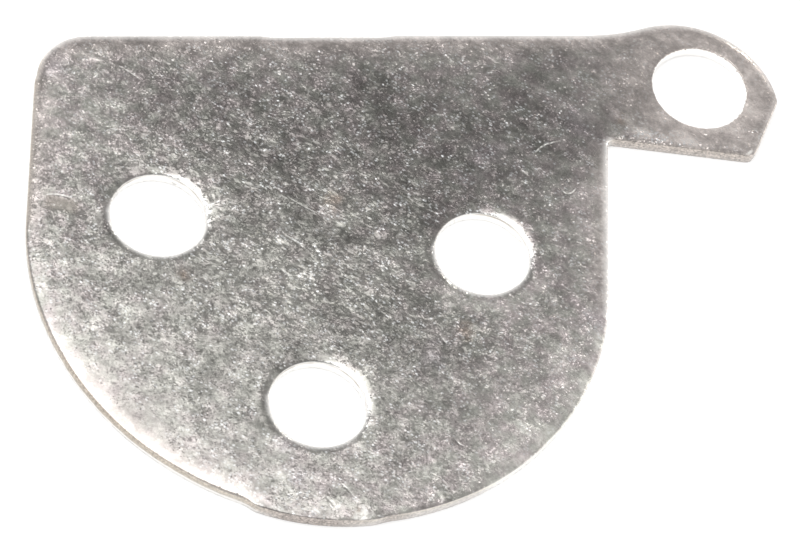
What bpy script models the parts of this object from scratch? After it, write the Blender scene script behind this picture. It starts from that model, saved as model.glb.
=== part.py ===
"""Hinge plate of a fridge door, punched from one piece of plated sheet steel.

The plate lies on its underside. The origin is on the underside, midway between the two screw
holes that stand level, with +X towards the arm, +Y towards the slanting edge and +Z up.
The outline and three screw holes were punched from one side, so they have the soft rolled edge
on top, and the pivot hole was punched from the other side, so its rolled edge is underneath.
"""
import math

import bmesh
import bpy
from mathutils import Vector

MM = 0.001

# Sheet, and the section that the press leaves on the outline
THICKNESS = 1.0 * MM
ROLL_WIDTH = 1.1 * MM
ROLL_DEPTH = 0.25 * MM
FRACTURE_HEIGHT = 0.35 * MM
FRACTURE_TAPER = 0.05 * MM

# The same section round a hole
HOLE_ROLL_WIDTH = 0.8 * MM
HOLE_ROLL_DEPTH = 0.2 * MM

# Screw holes: two level ones and a third below them
SCREW_DIAMETER = 6.5 * MM
SCREW_PITCH = 22.3 * MM
LOW_SCREW_DROP = 13.45 * MM
LOW_SCREW_SHIFT = 0.15 * MM

# Body: upright sides, a round lower end and a slanting upper edge
BODY_WIDTH = 40.0 * MM
RIGHT_ARC_DROP = 2.08 * MM
LEFT_ARC_DROP = 1.24 * MM
LEFT_ARC_SLACK = 0.75 * MM
TOP_EDGE_HEIGHT = 16.7 * MM
TOP_EDGE_SLOPE = math.radians(8.75)
CORNER_RADIUS = 3.9 * MM

# Just under the round corner the side stands proud by a hair, where two strokes of the press met
CORNER_STEP = 0.1 * MM
CORNER_STEP_RAMP = 0.3 * MM
CORNER_STEP_LENGTH = 1.2 * MM

# Arm: a hooked eye at the end of the slanting edge. Its depth is measured down the body's right
# side, and the eye's reach out from it
ARM_DEPTH = 9.0 * MM
EYE_REACH = 5.5 * MM
EYE_RADIUS = 6.9 * MM
EYE_RISE = 0.87 * MM
EYE_END_ANGLE = math.radians(10.0)
NECK_RADIUS = 15.0 * MM
CUT_ANGLE = math.radians(70.0)
TIP_RADIUS = 0.6 * MM
INNER_CORNER_RADIUS = 0.4 * MM

# Share of the full roll that the arm's lower edge and cut end have
ARM_ROLL = 0.5

# Pivot hole, measured from the centre of the eye's outer arc
PIVOT_DIAMETER = 6.78 * MM
PIVOT_SHIFT_X = 1.13 * MM
PIVOT_SHIFT_Y = 1.52 * MM

# Where the carrier strip was sheared off: a shallow dip on top and a proud stub below, both with
# only a share of the full roll
SHEARED_ROLL = 0.12
TAB_WIDTH = 8.8 * MM
TAB_RAMP = 0.8 * MM
TOP_TAB_X = 0.05 * MM
TOP_TAB_DIP = 0.13 * MM
LOW_TAB_X = 0.3 * MM
LOW_TAB_RADIUS = 16.8 * MM
LOW_TAB_PROUD = 0.16 * MM
LOW_TAB_SHARP_X = -0.5 * MM
LOW_TAB_ROLL = 0.75

# To the right of the stub the roll stays slight for a while
DULL_RUN = 6.5 * MM
DULL_FADE = 1.5 * MM
DULL_ROLL = 0.4

# Fineness of the mesh: how far a facet may lie inside its arc, and the pieces of a line or a roll
ROUNDNESS = 0.012 * MM
LEAST_ARC_STEPS = 3
LINE_PITCH = 3.0 * MM
HOLE_STEPS = 64
ROLL_ROWS = 6
ROLL_START = math.radians(15.0)
SAME_PLACE = 0.002 * MM
SHARP_ANGLE = math.radians(35.0)

# A hole's cutter runs on past both faces, and cuts the face this far before its roll begins
CUTTER_CLEAR = 1.0 * MM
CUTTER_LEAD = 0.02 * MM
CUTTER_WELD = 0.01 * MM

STEEL_COLOUR = (0.60, 0.585, 0.57, 1.0)
STEEL_ROUGHNESS = 0.34


def polar(centre, radius, angle):
    """The place at an angle on a circle in the plane."""
    return centre + radius * Vector((math.cos(angle), math.sin(angle)))


def roll_rows(width, depth):
    """A rolled edge's section, face to wall, as (distance from the wall, depth under the face)."""
    rows = []
    for row in range(ROLL_ROWS + 1):
        angle = ROLL_START + (math.pi / 2 - ROLL_START) * row / ROLL_ROWS
        across = (1 - math.sin(angle)) / (1 - math.sin(ROLL_START))
        down = (math.cos(ROLL_START) - math.cos(angle)) / math.cos(ROLL_START)
        rows.append((width * across, depth * down))
    return rows


class Outline:
    """A closed outline walked anticlockwise, each place with its share of the full roll."""

    def __init__(self):
        self.places = []
        self.shares = []

    def add(self, place, share):
        """Add a place, unless it repeats the last one."""
        if self.places and (place - self.places[-1]).length < SAME_PLACE:
            return
        self.places.append(place)
        self.shares.append(share)

    def line(self, start, end, shares=(1.0, 1.0)):
        """A straight run, whose share of the roll goes evenly from the first value to the second."""
        steps = max(1, round((end - start).length / LINE_PITCH))
        for step in range(steps + 1):
            way = step / steps
            self.add(start.lerp(end, way), shares[0] + (shares[1] - shares[0]) * way)

    def arc(self, centre, radius, start, end, shares=(1.0, 1.0)):
        """A round run from one angle to another, anticlockwise if the second is larger."""
        facet = 2 * math.acos(1 - ROUNDNESS / radius)
        steps = max(LEAST_ARC_STEPS, math.ceil(abs(end - start) / facet))
        for step in range(steps + 1):
            way = step / steps
            share = shares[0] + (shares[1] - shares[0]) * way
            self.add(polar(centre, radius, start + (end - start) * way), share)

    def mitres(self):
        """At each place, the outward vector that moves both neighbouring edges out by one unit."""
        found = []
        count = len(self.places)
        for index, place in enumerate(self.places):
            before = (place - self.places[index - 1]).normalized()
            after = (self.places[(index + 1) % count] - place).normalized()
            first = Vector((before.y, -before.x))
            second = Vector((after.y, -after.x))
            found.append((first + second) / (1 + first.dot(second)))
        return found


def top_edge(x, inset=0.0):
    """The place on the slanting edge above a given x, or that far inside the edge."""
    height = TOP_EDGE_HEIGHT + x * math.tan(TOP_EDGE_SLOPE)
    return Vector((x, height - inset / math.cos(TOP_EDGE_SLOPE)))


def eye_centre():
    """The centre of the eye's outer arc, which stands EYE_RISE above the slanting edge's line."""
    return top_edge(BODY_WIDTH / 2 + EYE_REACH, EYE_RADIUS - EYE_RISE)


def pivot_centre():
    """The centre of the pivot hole."""
    return eye_centre() + Vector((PIVOT_SHIFT_X, PIVOT_SHIFT_Y))


def angle_below(centre, radius, x):
    """The angle, from 180 to 360 degrees, at which the lower half of a circle has a given x."""
    return 2 * math.pi - math.acos((x - centre.x) / radius)


def add_round_end(outline):
    """The left flank, the stub of the carrier strip and the right flank, from left to right."""
    half = BODY_WIDTH / 2
    tab_left = LOW_TAB_X - TAB_WIDTH / 2
    tab_right = LOW_TAB_X + TAB_WIDTH / 2

    left_radius = half + LEFT_ARC_SLACK
    left = Vector((-half + left_radius, -LEFT_ARC_DROP))
    left_end = angle_below(left, left_radius, tab_left - TAB_RAMP / 2)
    outline.arc(left, left_radius, math.pi, left_end)

    stub = Vector((LOW_TAB_X, LOW_TAB_RADIUS - RIGHT_ARC_DROP - half - LOW_TAB_PROUD))
    stub_start = angle_below(stub, LOW_TAB_RADIUS, tab_left + TAB_RAMP / 2)
    stub_sharp = angle_below(stub, LOW_TAB_RADIUS, LOW_TAB_SHARP_X)
    stub_end = angle_below(stub, LOW_TAB_RADIUS, tab_right - TAB_RAMP / 2)
    outline.arc(stub, LOW_TAB_RADIUS, stub_start, stub_sharp, (LOW_TAB_ROLL, SHEARED_ROLL))
    outline.arc(stub, LOW_TAB_RADIUS, stub_sharp, stub_end, (SHEARED_ROLL, LOW_TAB_ROLL))

    right = Vector((0.0, -RIGHT_ARC_DROP))
    dull_start = angle_below(right, half, tab_right + TAB_RAMP / 2)
    dull_end = dull_start + DULL_RUN / half
    full_start = dull_end + DULL_FADE / half
    outline.arc(right, half, dull_start, dull_end, (DULL_ROLL, DULL_ROLL))
    outline.arc(right, half, full_start, 2 * math.pi)


def add_arm(outline):
    """The inner corner, the arm's lower edge, the cut end, the eye and the neck behind it."""
    quarter = math.pi / 2
    cut_rolls = (ARM_ROLL, ARM_ROLL)
    floor = top_edge(BODY_WIDTH / 2).y - ARM_DEPTH
    inner = Vector((BODY_WIDTH / 2 + INNER_CORNER_RADIUS, floor - INNER_CORNER_RADIUS))
    outline.arc(inner, INNER_CORNER_RADIUS, 2 * quarter, quarter, (1.0, ARM_ROLL))

    eye = eye_centre()
    eye_end = polar(eye, EYE_RADIUS, EYE_END_ANGLE)
    cut = Vector((math.cos(CUT_ANGLE), math.sin(CUT_ANGLE)))
    corner = eye_end - cut * (eye_end.y - floor) / cut.y
    corner_reach = TIP_RADIUS * math.tan(CUT_ANGLE / 2)
    tip = Vector((corner.x - corner_reach, floor + TIP_RADIUS))
    outline.line(Vector((inner.x, floor)), Vector((tip.x, floor)), cut_rolls)
    outline.arc(tip, TIP_RADIUS, -quarter, CUT_ANGLE - quarter, cut_rolls)
    outline.line(corner + cut * corner_reach, eye_end, cut_rolls)

    along = Vector((math.cos(TOP_EDGE_SLOPE), math.sin(TOP_EDGE_SLOPE)))
    upward = Vector((-along.y, along.x))
    apart = NECK_RADIUS + EYE_RADIUS
    above = apart - EYE_RISE
    neck = eye + upward * above - along * math.sqrt(apart ** 2 - above ** 2)
    meeting = math.atan2(neck.y - eye.y, neck.x - eye.x)
    outline.arc(eye, EYE_RADIUS, EYE_END_ANGLE, meeting, (ARM_ROLL, 1.0))
    outline.arc(neck, NECK_RADIUS, meeting - 2 * quarter, TOP_EDGE_SLOPE - quarter)


def add_top_edge(outline):
    """The slanting edge with the dip that the carrier strip left, from right to left."""
    tab_right = TOP_TAB_X + TAB_WIDTH / 2
    tab_left = TOP_TAB_X - TAB_WIDTH / 2
    outline.line(outline.places[-1], top_edge(tab_right + TAB_RAMP / 2))
    dip_start = top_edge(tab_right - TAB_RAMP / 2, TOP_TAB_DIP)
    dip_middle = top_edge(TOP_TAB_X, TOP_TAB_DIP)
    dip_end = top_edge(tab_left + TAB_RAMP / 2, TOP_TAB_DIP)
    outline.line(dip_start, dip_middle, (1.0, SHEARED_ROLL))
    outline.line(dip_middle, dip_end, (SHEARED_ROLL, 1.0))

    left = -BODY_WIDTH / 2
    corner_reach = CORNER_RADIUS * math.tan(math.pi / 4 - TOP_EDGE_SLOPE / 2)
    centre = Vector((left + CORNER_RADIUS, top_edge(left).y - corner_reach))
    corner_start = math.pi / 2 + TOP_EDGE_SLOPE
    outline.line(top_edge(tab_left - TAB_RAMP / 2), polar(centre, CORNER_RADIUS, corner_start))
    outline.arc(centre, CORNER_RADIUS, corner_start, math.pi)
    ledge = Vector((left - CORNER_STEP, centre.y - CORNER_STEP_RAMP))
    outline.line(ledge, ledge - Vector((0.0, CORNER_STEP_LENGTH)))


def plate_outline():
    """The whole outline, anticlockwise from the top of the left flank's arc."""
    outline = Outline()
    add_round_end(outline)
    add_arm(outline)
    add_top_edge(outline)
    return outline


def punched_blank():
    """The blank as a mesh: rolled edge, shiny wall and rough tapering break, from the top down."""
    outline = plate_outline()
    mitres = outline.mitres()
    mesh = bmesh.new()
    rings = []
    for inset, drop in roll_rows(ROLL_WIDTH, ROLL_DEPTH):
        ring = []
        for place, mitre, share in zip(outline.places, mitres, outline.shares):
            spot = place - mitre * inset * share
            ring.append(mesh.verts.new((spot.x, spot.y, THICKNESS - drop * share)))
        rings.append(ring)
    for inset, height in ((0.0, FRACTURE_HEIGHT), (FRACTURE_TAPER, 0.0)):
        ring = []
        for place, mitre in zip(outline.places, mitres):
            spot = place - mitre * inset
            ring.append(mesh.verts.new((spot.x, spot.y, height)))
        rings.append(ring)

    count = len(outline.places)
    for upper, lower in zip(rings, rings[1:]):
        for index in range(count):
            after = (index + 1) % count
            mesh.faces.new((upper[index], lower[index], lower[after], upper[after]))
    mesh.faces.new(rings[0])
    mesh.faces.new(list(reversed(rings[-1])))
    return mesh


def punch_profile(radius, from_above):
    """Half the section of a hole's cutter at +X, top to bottom, as (radius, height) pairs."""
    rows = roll_rows(HOLE_ROLL_WIDTH, HOLE_ROLL_DEPTH)
    slope = (rows[0][0] - rows[1][0]) / (rows[1][1] - rows[0][1])
    mouth = radius + HOLE_ROLL_WIDTH + CUTTER_LEAD * slope
    section = [(0.0, -CUTTER_CLEAR), (mouth, -CUTTER_CLEAR), (mouth, -CUTTER_LEAD)]
    section += [(radius + across, down) for across, down in rows]
    section.append((radius, THICKNESS - FRACTURE_HEIGHT))
    section.append((radius + FRACTURE_TAPER, THICKNESS))
    section.append((radius + FRACTURE_TAPER, THICKNESS + CUTTER_CLEAR))
    section.append((0.0, THICKNESS + CUTTER_CLEAR))
    if from_above:
        return [(across, THICKNESS - depth) for across, depth in section]
    return [(across, depth) for across, depth in reversed(section)]


def add_punch(collection, name, centre, diameter, from_above):
    """A turned cutter for one hole, with its rolled edge on the side that the punch entered."""
    mesh = bmesh.new()
    verts = [mesh.verts.new((across, 0.0, height))
             for across, height in punch_profile(diameter / 2, from_above)]
    for first, second in zip(verts, verts[1:]):
        mesh.edges.new((first, second))
    data = bpy.data.meshes.new(name)
    mesh.to_mesh(data)
    mesh.free()
    punch = bpy.data.objects.new(name, data)
    punch.location = (centre.x, centre.y, 0.0)
    punch.hide_render = True
    punch.display_type = "WIRE"
    collection.objects.link(punch)
    screw = punch.modifiers.new("turn", "SCREW")
    screw.axis = "Z"
    screw.steps = HOLE_STEPS
    screw.render_steps = HOLE_STEPS
    screw.use_merge_vertices = True
    screw.merge_threshold = CUTTER_WELD
    return punch


def steel():
    """Bright plated steel."""
    material = bpy.data.materials.new("plated_steel")
    material.use_nodes = True
    shader = material.node_tree.nodes["Principled BSDF"]
    shader.inputs["Base Color"].default_value = STEEL_COLOUR
    shader.inputs["Metallic"].default_value = 1.0
    shader.inputs["Roughness"].default_value = STEEL_ROUGHNESS
    return material


def new_collection(name):
    """A collection of the scene."""
    collection = bpy.data.collections.new(name)
    bpy.context.scene.collection.children.link(collection)
    return collection


def build_plate(collection, punches):
    """The plate, with its four holes cut."""
    mesh = punched_blank()
    data = bpy.data.meshes.new("hinge_plate")
    mesh.to_mesh(data)
    mesh.free()
    data.shade_smooth()
    data.set_sharp_from_angle(angle=SHARP_ANGLE)
    data.materials.append(steel())
    plate = bpy.data.objects.new("hinge_plate", data)
    collection.objects.link(plate)
    for punch in punches:
        cut = plate.modifiers.new(punch.name, "BOOLEAN")
        cut.operation = "DIFFERENCE"
        cut.object = punch
    return plate


def main():
    for old in list(bpy.data.objects):
        bpy.data.objects.remove(old)
    parts = new_collection("fridge_door_hinge")
    cutters = new_collection("punches")
    half_pitch = SCREW_PITCH / 2
    punches = [
        add_punch(cutters, "left_screw_hole", Vector((-half_pitch, 0.0)), SCREW_DIAMETER, True),
        add_punch(cutters, "right_screw_hole", Vector((half_pitch, 0.0)), SCREW_DIAMETER, True),
        add_punch(cutters, "low_screw_hole", Vector((LOW_SCREW_SHIFT, -LOW_SCREW_DROP)),
                  SCREW_DIAMETER, True),
        add_punch(cutters, "pivot_hole", pivot_centre(), PIVOT_DIAMETER, False),
    ]
    build_plate(parts, punches)


main()
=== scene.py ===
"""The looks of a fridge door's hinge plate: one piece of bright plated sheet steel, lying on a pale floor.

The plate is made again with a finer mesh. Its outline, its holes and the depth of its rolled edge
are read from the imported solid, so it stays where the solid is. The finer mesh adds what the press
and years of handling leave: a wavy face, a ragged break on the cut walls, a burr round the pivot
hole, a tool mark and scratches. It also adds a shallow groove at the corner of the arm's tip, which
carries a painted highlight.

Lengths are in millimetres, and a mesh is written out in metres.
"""
import math

import bpy
import numpy as np
from mathutils import Matrix, Vector, geometry, kdtree, noise


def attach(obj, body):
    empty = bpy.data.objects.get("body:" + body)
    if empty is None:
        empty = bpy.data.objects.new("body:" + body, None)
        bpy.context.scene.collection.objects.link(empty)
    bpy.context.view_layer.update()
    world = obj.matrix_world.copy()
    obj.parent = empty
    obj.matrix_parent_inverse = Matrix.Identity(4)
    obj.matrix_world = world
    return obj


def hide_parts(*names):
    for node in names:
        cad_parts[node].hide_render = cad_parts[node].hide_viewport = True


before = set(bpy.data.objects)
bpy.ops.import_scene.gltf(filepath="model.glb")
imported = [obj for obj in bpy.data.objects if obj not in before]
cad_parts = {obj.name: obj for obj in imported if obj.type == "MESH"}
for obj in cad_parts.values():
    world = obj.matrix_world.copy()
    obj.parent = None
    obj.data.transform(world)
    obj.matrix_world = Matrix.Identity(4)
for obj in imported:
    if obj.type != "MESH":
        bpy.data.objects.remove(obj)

bpy.context.view_layer.update()

MM = 0.001
NODE = "hinge_plate"

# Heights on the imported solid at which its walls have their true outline
OUTLINE_HEIGHT = 0.35
PIVOT_HEIGHT = 0.65
SAME_PLACE = 0.001
SAME_POINT = 1e-7

# Fineness of the mesh, and how often the outline's places and its roll are softened
EDGE_PITCH = 0.16
HOLE_STEPS = 300
FACE_PITCH = 0.25
MARK_PITCH = 0.06
UNDERSIDE_PITCH = 0.8
CLEAR_OF_EDGE = 0.2
ROLL_ROWS = 12
WALL_ROWS = 4
BREAK_ROWS = 5
SHARP_TURN = math.radians(14.0)
OUTLINE_ROUNDS = 2
DEPTH_ROUNDS = 12

# Section of the cut edge: the roll's width for each millimetre of its depth, and the holes' roll
ROLL_SPREAD = 4.4
HOLE_ROLL_SPREAD = 4.0
HOLE_ROLL_DEPTH = 0.2

# The break below the wall: how far it tapers in, how rough it is, and how its upper line wanders
BREAK_TAPER = 0.05
BREAK_RAGGED = 0.018
RAGGED_PITCH = 0.22
RAGGED_ROW_STEP = 0.6
FOOT_RAGGED = 0.3
BREAK_WANDER = 0.06
BREAK_WANDER_PITCH = 0.9

# How late the wall's own colour starts on a crisp roll, and how much of the line at the roll's foot
# the first row of the wall keeps
CRISP_POWER = 3
SECOND_LINE = 0.6

# Low waves that the press leaves in the face: height, pitch and seed
WAVES = (
    (0.010, 9.0, 3.7),
    (0.0025, 2.4, 8.1),
)

# What brings the noise to about -1 to 1, and the seeds of all the other noises
NOISE_GAIN = 1.6
RIM_SEED = 0.0
HOLE_SEED = 10.0
DENT_SEED = 2.0
SPOT_SEED = 5.0
RING_SEED = 31.0
STAIN_SEED = 21.0
TINT_SEED = 23.0

# How far from an edge the face is smoother, how far painted sheen, painted light and painted shade
# reach from it, and how strongly
SHEEN_REACH = 1.6
CALM_REACH = 2.6
BROAD_CALM_REACH = 6.0
BROAD_CALM = 0.55
CALM_LOSS = 0.1
# Painted sheen beside the holes, and how far it and the holes' painted light and shade reach
HOLE_SHEEN = 0.45
HOLE_PAINTED_REACH = 0.7
# Painted shade and painted light on the face beside the holes: how much darker one side and how much
# lighter the other
HOLE_SHADE = 1.1
HOLE_LIGHT = 0.5
# Painted light and shade beside the crisp parts of the outer rim: a lighter band, and a darker strip at the
# rim itself
LIFT_REACH = 1.1
LIFT = 1.1
DIM_REACH = 0.4
DIM = 1.5
# Painted sheen round the pivot hole, and how much calmer the face is there
EYE_SHEEN = 1.3
EYE_SHEEN_REACH = 4.0
EYE_CALM = 0.3

# Which way an edge faces: a direction in the plane, and the cosines at which it starts and is full.
# First the outer rim: the beige wall, the crisp roll at the lower right, the smooth face along the
# lower left, and the left flank, which needs all three of its directions.
DULL_SIDE = ((-0.93, -0.66), 0.16, 1.16)
SHARP_SIDE = ((0.75, -0.66), 0.7, 0.9)
CALM_SIDE = ((-0.4, -0.5), -0.35, 0.65)
LEAST_CALM = 0.15
FLANK_SIDES = (((0.0, 1.0), -0.6, -0.35), ((0.0, -1.0), 0.0, 0.08), ((-1.0, 0.0), 0.3, 0.8))
UPPER_SIDE = ((0.0, 1.0), 0.0, 1.0)
LOWER_SIDE = ((0.0, -1.0), 0.0, 1.0)

# Then the holes, whose edges face into them: a crisp roll, the side of the rim with painted sheen, the side
# with painted shade, and the burr
LATE_SIDES = (((0.80, 0.60), -0.85, -0.35), ((0.0, -1.0), 0.0, 0.5))
HOLE_SHEEN_SIDE = ((-0.80, -0.60), 1 / 3, 1.0)
HOLE_SHADE_SIDE = ((0.80, 0.60), -0.9, 0.1)
BURR_SIDE = ((-0.5, -0.86), -0.7, 0.3)

# Where the roll fades out, the wall is torn: how torn it is with no roll at all, and how fast that
# falls with the roll's depth. It is cleaner right of the body's middle, and the face beside it gets
# little painted sheen. The rest is how crisp and calm the rim's other parts are, and how much painted
# sheen the face beside them gets.
TORN_MOST = 1.55
TORN_FALL = 1.4
SPENT_RISE = 3
CLEAN_FROM = 5.0
CLEAN_OVER = 2.0
CLEAN_LOSS = 0.4
STUB_LEAST = 0.5
SOFT_CRISP = 0.8
FLANK_CALM_LOSS = 0.7
# How much painted sheen is lost where the roll is spent, on the flank and at the crisp lower right, and how
# much more the upper edges get
SPENT_SHEEN_LOSS = 0.85
FLANK_SHEEN_LOSS = 0.95
SHARP_SHEEN_LOSS = 0.85
UPPER_SHEEN = 0.5

# Scratches and nicks, and last a painted highlight at the corner of the arm's tip: the three places
# that each curve runs through, its width and its depth
SCRATCHES_AND_HIGHLIGHT = (
    (((14.84, 8.85), (15.48, 9.53), (16.54, 10.02)), 0.13, 0.014),
    (((16.68, 5.94), (17.17, 5.70), (17.67, 6.24)), 0.10, 0.010),
    (((0.85, -20.56), (1.15, -20.76), (1.39, -21.10)), 0.14, 0.014),
    (((1.88, -19.45), (2.22, -19.71), (2.56, -20.12)), 0.09, 0.010),
    (((8.43, -19.53), (8.63, -19.81), (8.44, -20.06)), 0.09, 0.010),
    (((-2.38, 2.64), (-1.33, 2.05), (-0.21, 1.56)), 0.06, 0.006),
    (((-14.43, 11.77), (-13.57, 11.31), (-12.78, 10.75)), 0.08, 0.008),
    (((-12.19, 12.87), (-11.90, 12.68), (-11.62, 12.53)), 0.08, 0.008),
    (((-2.35, -0.54), (-1.66, -0.93), (-1.02, -1.48)), 0.12, 0.010),
    (((-2.75, -3.18), (-2.50, -3.38), (-2.19, -3.66)), 0.12, 0.010),
    (((8.34, -7.10), (8.52, -7.35), (8.76, -7.68)), 0.10, 0.010),
    (((9.45, -15.11), (9.70, -15.35), (10.00, -15.50)), 0.08, 0.008),
    (((-18.81, 0.50), (-18.00, 0.62), (-17.10, 0.48)), 0.11, 0.010),
    # A painted highlight, not a scratch: a shallow groove on the roll at the corner of the arm's tip,
    # coloured bright
    (((29.35, 10.55), (29.95, 10.85), (30.40, 11.35)), 0.24, 0.020),
)
SCRATCH_STEPS = 24
SCRATCH_ROWS = (-0.65, -0.3, 0.0, 0.3, 0.65)
SCRATCH_HALF = 0.6
SCRATCH_END = 0.02

# The slot-shaped dent beside the left screw hole: its centre, half sides, turn and depth
DENT_CENTRE = (-17.72, -0.10)
DENT_HALF = (1.12, 0.55)
DENT_TURN = math.radians(-3.0)
DENT_DEPTH = 0.012
DENT_SOFTNESS = 0.30
DENT_STEEPNESS = 4
DENT_UNEVEN = 0.08
DENT_UNEVEN_PITCH = 0.5

# Spots rubbed bright: centre and radius, and how uneven their rims are
BRIGHT_SPOTS = (
    ((3.33, -21.80), 0.55),
    ((20.46, 10.25), 0.34),
    ((-18.23, -0.26), 0.05),
    ((-17.76, -0.20), 0.05),
)
SPOT_UNEVEN = 0.5
SPOT_PITCH = 0.4

# Broad places where the plating is darker or lighter: centre, radius and change in stops
TONES = (
    ((2.9, 9.4), 7.5, -0.70),
    ((-7.5, 8.0), 6.0, -0.40),
    ((9.0, 4.8), 4.5, -0.48),
    ((15.2, 11.2), 4.0, -0.75),
    ((19.0, 12.0), 2.5, -0.12),
    ((16.0, -5.5), 4.5, 0.35),
    ((-17.5, -1.3), 4.0, -0.08),
    ((6.5, -8.0), 4.5, -0.45),
    ((0.2, -2.3), 3.0, -0.52),
    ((-3.6, -2.8), 1.5, 0.45),
    ((-5.3, -8.4), 2.5, -0.18),
    ((-8.8, -18.0), 3.0, -0.15),
    ((-15.2, -1.8), 2.5, -0.15),
    ((-7.2, 0.4), 1.2, 0.25),
    ((2.7, -10.9), 1.2, 0.50),
    ((9.5, -11.0), 2.0, 0.20),
    ((3.0, -16.5), 1.5, 0.20),
    ((-12.5, -4.2), 2.5, -0.15),
    ((8.9, -4.2), 1.2, 0.20),
    ((2.3, 15.9), 1.5, 0.20),
    ((24.9, 19.2), 2.0, 0.12),
    ((4.5, -5.5), 3.0, -0.25),
    ((2.8, -15.8), 1.5, 0.50),
    ((-2.6, -21.8), 1.0, -0.25),
    ((-1.2, -22.0), 1.0, -0.25),
    ((-16.5, -7.0), 2.5, 0.28),
    ((-12.0, 12.5), 4.5, -0.28),
    ((4.5, 11.8), 3.2, -0.26),
    ((9.0, -6.2), 2.0, -0.14),
    ((-7.0, -2.6), 2.0, -0.15),
    ((31.3, 16.9), 1.5, -0.15),
    ((0.3, -20.9), 1.5, 0.20),
    ((18.5, 0.5), 2.0, 0.10),
    ((12.0, -15.0), 4.0, 0.18),
    ((-7.0, -4.0), 2.5, -0.15),
    ((0.0, -7.7), 3.0, -0.20),
    ((10.7, -7.6), 2.5, -0.26),
    ((-3.7, 4.6), 2.7, -0.50),
    ((5.7, 1.5), 2.5, -0.34),
    ((5.7, -3.0), 2.5, -0.12),
    ((-4.3, -20.6), 1.2, -0.20),
    ((-2.0, -20.6), 1.5, 0.25),
    ((3.0, -17.8), 3.0, -0.12),
    ((8.8, -14.5), 2.0, -0.15),
    ((-12.0, -10.5), 3.0, 0.20),
    ((-16.6, 8.0), 3.2, 0.25),
    ((18.6, 4.0), 3.2, 0.30),
    ((18.0, -8.5), 2.5, 0.38),
    ((14.5, -13.8), 3.0, 0.40),
    ((21.6, 15.2), 2.5, -0.30),
    ((28.5, 16.5), 5.0, 0.32),
    ((25.0, 13.0), 2.5, -0.15),
    ((22.0, 11.4), 0.8, 0.35),
    ((23.4, 11.3), 0.8, 0.35),
    ((24.8, 11.2), 0.8, 0.35),
    ((26.2, 11.1), 0.8, 0.35),
    ((27.6, 11.0), 0.8, 0.25),
)

# Places with more bright flecks than elsewhere: centre, radius and how many
FLECKED_PLACES = (
    ((21.2, 11.3), 0.8, 0.6),
    ((22.4, 11.3), 0.8, 0.9),
    ((23.6, 11.2), 0.8, 1.1),
    ((24.8, 11.1), 0.8, 1.1),
    ((26.0, 11.0), 0.8, 0.8),
    ((27.4, 10.8), 0.8, 0.5),
    ((21.0, 14.8), 2.5, 0.35),
    ((-4.5, -21.0), 2.0, 0.5),
    ((-1.0, -21.3), 1.5, 0.4),
    ((-6.5, -18.5), 3.0, 0.35),
    ((-18.5, -6.0), 1.5, 0.3),
)

# Places where the grain is fainter: centre, radius and how far
FAINT_PLACES = (
    ((-14.0, 10.0), 6.0, 0.30),
    ((-17.5, -3.0), 5.0, 0.20),
    ((12.0, -14.0), 5.0, 0.32),
    ((28.5, 15.5), 4.5, 0.35),
)

# Places near the rim where the grain stays strong: centre, radius and how far
LIVELY_PLACES = (
    ((-6.5, -18.5), 3.5, 0.30),
    ((-13.0, -12.5), 3.0, 0.12),
)

# The pale ring that a washer left below the right screw hole
RING_CENTRE = (11.15, 0.0)
RING_RADIUS = 4.35
RING_HALF_WIDTH = 0.55
RING_TOWARDS = (0.0, -1.0)
RING_UNEVEN = 0.5
RING_PITCH = 0.7
RING_SPAN = 1.6
RING_TONE = 0.3
RING_CALM = 0.6

# Brown stains on the plating, and small purplish and bluish ones: centre and radius
STAINS = (
    ((10.05, -6.47), 0.5),
    ((0.86, 2.85), 0.55),
    ((3.0, -21.4), 0.3),
    ((-9.2, -4.6), 0.35),
    ((20.9, 12.3), 0.3),
)
TINTS = (
    ((7.88, -8.90), 0.8),
    ((19.30, -4.34), 1.0),
    ((-18.82, 11.20), 1.0),
    ((11.3, 8.0), 1.3),
    ((17.5, 11.5), 1.2),
    ((-0.92, -19.12), 0.6),
    ((-1.98, -16.96), 0.6),
)
BLOT_UNEVEN = 0.6

# The pivot hole's burr: height, reach and pitch of the teeth round its upper rim, how much of the rim
# has teeth, and the lip behind them
BURR_HEIGHT = 0.02
BURR_REACH = 0.11
BURR_PITCH = 0.11
BURR_SHARE = 0.3
LIP = 0.05

# What the material is told of the faces, and the share of the thickness above which the marks lie
FACE_SHARES = ("scored_and_highlight", "pressed", "painted_sheen", "calm", "stain", "tint", "tone_and_shading", "fleck")
FACE_LOWEST = 0.9

# The body lies left of this, the arm right of it
BODY_RIGHT = 19.9

# The grain's direction, stretch and bend, and the middles of the streaks and of the greenish part
GRAIN_ANGLE = math.radians(-27.5)
GRAIN_STRETCH = (0.8, 1.0, 1.0)
STREAK_STRETCH = (0.38, 1.0, 1.0)
BEND_SCALE = 0.5
BEND_BY = 0.5
STREAK_CENTRE = (-2.3, 0.8, 1.0)
GREENISH_CENTRE = (-4.0, -7.0, 1.0)

# How bright the plating is on the whole, and the most that it may be
PLATING = 0.328
BRIGHTEST = 0.95

# Hues of the plating, which its brightness is multiplied by
GREENISH = (1.018, 1.008, 0.925, 1)
PINKISH = (1.072, 0.966, 0.948, 1)
# The warmer hue of the painted sheen
SHEEN_HUE = (1.08, 0.98, 0.93, 1)
PURPLISH = (1.05, 0.94, 0.98, 1)

# Colours of the marks on it, and of the cut walls
FLECK = (0.86, 0.87, 0.875, 1)
STAIN = (0.33, 0.26, 0.21, 1)
PRESSED = (0.36, 0.325, 0.29, 1)
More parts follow.
